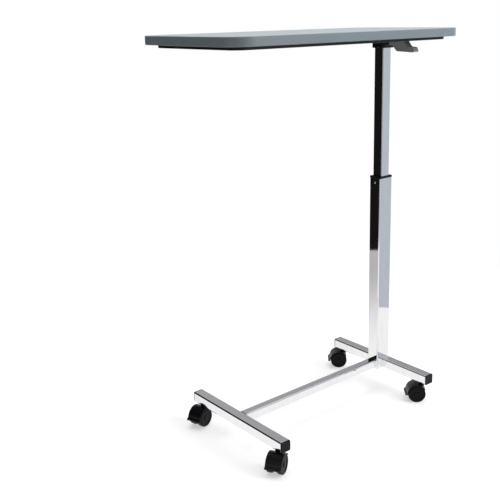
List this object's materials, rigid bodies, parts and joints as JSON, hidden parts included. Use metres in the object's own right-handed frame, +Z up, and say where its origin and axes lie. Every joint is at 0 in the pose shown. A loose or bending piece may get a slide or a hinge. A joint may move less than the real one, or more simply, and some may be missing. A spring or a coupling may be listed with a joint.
{
  "type": "overbed table",
  "caption": "Hospital overbed table: wide laminated top on a chromed telescopic column over an H-shaped base with swivel casters.",
  "frame": {"origin": "on the floor, under the centre of the tabletop", "axes": "+X along the tabletop towards the column, +Y across it, +Z up"},
  "size_m": [0.762, 0.405, 1.041],
  "materials": {
    "core_board": "raw particle board",
    "laminate": "fine-textured grey laminate",
    "edge_band": "satin grey edge band",
    "black_steel": "black powder coat",
    "black_fastener": "black oxide",
    "zinc": "bright zinc plate",
    "lever_grey": "satin grey die casting",
    "chrome_tube": "polished chrome plate",
    "rod_chrome": "ground and chromed rod",
    "glide_plastic": "natural acetal",
    "black_plastic": "moulded black plastic",
    "cylinder_paint": "black gloss paint",
    "caster_hood": "moulded black nylon, semi-gloss",
    "caster_wheel": "moulded black nylon wheel"
  },
  "bodies": {
    "base": {"outer_tube": "chrome_tube", "collar": "black_plastic", "collar_screw": "zinc", "gas_cylinder": "cylinder_paint", "foot_block": "black_fastener", "foot_nut": "zinc", "front_leg": "chrome_tube", "rear_leg_left": "chrome_tube", "rear_leg_right": "chrome_tube", "rail": "chrome_tube", "cap_front_left": "black_plastic", "cap_front_right": "black_plastic", "cap_rear_left": "black_plastic", "cap_rear_right": "black_plastic", "socket_front_left": "zinc", "socket_front_right": "zinc", "socket_rear_left": "zinc", "socket_rear_right": "zinc"},
    "mast": {"tabletop_core": "core_board", "laminate": "laminate", "edge_band": "edge_band", "underframe_tray": "black_steel", "tray_screws": "zinc", "head_bracket": "black_steel", "head_bolts": "black_fastener", "lever_pin": "zinc", "lever_spring": "zinc", "inner_tube": "chrome_tube", "rod_clamp": "black_fastener", "clamp_screws": "black_fastener", "mast_glide": "glide_plastic", "gas_rod": "rod_chrome"},
    "lever": {"lever": "lever_grey"},
    "release_pin": {"release_pin": "zinc"},
    "caster_front_left": {"stem_front_left": "zinc", "hood_front_left": "caster_hood", "axle_front_left": "zinc"},
    "wheel_front_left_a": {"wheel_front_left_a": "caster_wheel"},
    "wheel_front_left_b": {"wheel_front_left_b": "caster_wheel"},
    "caster_front_right": {"stem_front_right": "zinc", "hood_front_right": "caster_hood", "axle_front_right": "zinc"},
    "wheel_front_right_a": {"wheel_front_right_a": "caster_wheel"},
    "wheel_front_right_b": {"wheel_front_right_b": "caster_wheel"},
    "caster_rear_left": {"stem_rear_left": "zinc", "hood_rear_left": "caster_hood", "axle_rear_left": "zinc"},
    "wheel_rear_left_a": {"wheel_rear_left_a": "caster_wheel"},
    "wheel_rear_left_b": {"wheel_rear_left_b": "caster_wheel"},
    "caster_rear_right": {"stem_rear_right": "zinc", "hood_rear_right": "caster_hood", "axle_rear_right": "zinc"},
    "wheel_rear_right_a": {"wheel_rear_right_a": "caster_wheel"},
    "wheel_rear_right_b": {"wheel_rear_right_b": "caster_wheel"}
  },
  "joints": [
    {"name": "lift", "type": "slide", "parent": "base", "child": "mast", "axis": [0, 0, 1], "range_m": [-0.33, 0]},
    {"name": "lever_pivot", "type": "hinge", "parent": "mast", "child": "lever", "pos_m": [0.276, -0.0269, 1.007], "axis": [-1, 0, 0], "range_deg": [0, 7.5], "stiffness_Nm_per_rad": 0.8, "springref_deg": -11.46},
    {"name": "release_pin_slide", "type": "slide", "parent": "mast", "child": "release_pin", "axis": [0, 0, -1], "range_m": [0, 0.0037]},
    {"name": "swivel_front_left", "type": "hinge", "parent": "base", "child": "caster_front_left", "pos_m": [-0.253, 0.157, 0.057], "axis": [0, 0, 1], "continuous": true},
    {"name": "spin_front_left_a", "type": "hinge", "parent": "caster_front_left", "child": "wheel_front_left_a", "pos_m": [-0.26845, 0.15286, 0.025], "axis": [-0.2588, 0.9659, 0], "continuous": true},
    {"name": "spin_front_left_b", "type": "hinge", "parent": "caster_front_left", "child": "wheel_front_left_b", "pos_m": [-0.26845, 0.15286, 0.025], "axis": [-0.2588, 0.9659, 0], "continuous": true},
    {"name": "swivel_front_right", "type": "hinge", "parent": "base", "child": "caster_front_right", "pos_m": [-0.253, -0.157, 0.057], "axis": [0, 0, 1], "continuous": true},
    {"name": "spin_front_right_a", "type": "hinge", "parent": "caster_front_right", "child": "wheel_front_right_a", "pos_m": [-0.26699, -0.16476, 0.025], "axis": [-0.4848, 0.8746, 0], "continuous": true},
    {"name": "spin_front_right_b", "type": "hinge", "parent": "caster_front_right", "child": "wheel_front_right_b", "pos_m": [-0.26699, -0.16476, 0.025], "axis": [-0.4848, 0.8746, 0], "continuous": true},
    {"name": "swivel_rear_left", "type": "hinge", "parent": "base", "child": "caster_rear_left", "pos_m": [0.288, 0.157, 0.057], "axis": [0, 0, 1], "continuous": true},
    {"name": "spin_rear_left_a", "type": "hinge", "parent": "caster_rear_left", "child": "wheel_rear_left_a", "pos_m": [0.27611, 0.16771, 0.025], "axis": [0.6691, 0.7431, 0], "continuous": true},
    {"name": "spin_rear_left_b", "type": "hinge", "parent": "caster_rear_left", "child": "wheel_rear_left_b", "pos_m": [0.27611, 0.16771, 0.025], "axis": [0.6691, 0.7431, 0], "continuous": true},
    {"name": "swivel_rear_right", "type": "hinge", "parent": "base", "child": "caster_rear_right", "pos_m": [0.288, -0.157, 0.057], "axis": [0, 0, 1], "continuous": true},
    {"name": "spin_rear_right_a", "type": "hinge", "parent": "caster_rear_right", "child": "wheel_rear_right_a", "pos_m": [0.27611, -0.14629, 0.025], "axis": [0.6691, 0.7431, 0], "continuous": true},
    {"name": "spin_rear_right_b", "type": "hinge", "parent": "caster_rear_right", "child": "wheel_rear_right_b", "pos_m": [0.27611, -0.14629, 0.025], "axis": [0.6691, 0.7431, 0], "continuous": true}
  ],
  "couplings": [
    {"joint": "release_pin_slide", "follows": "lever_pivot", "m_per_rad": 0.0269}
  ]
}
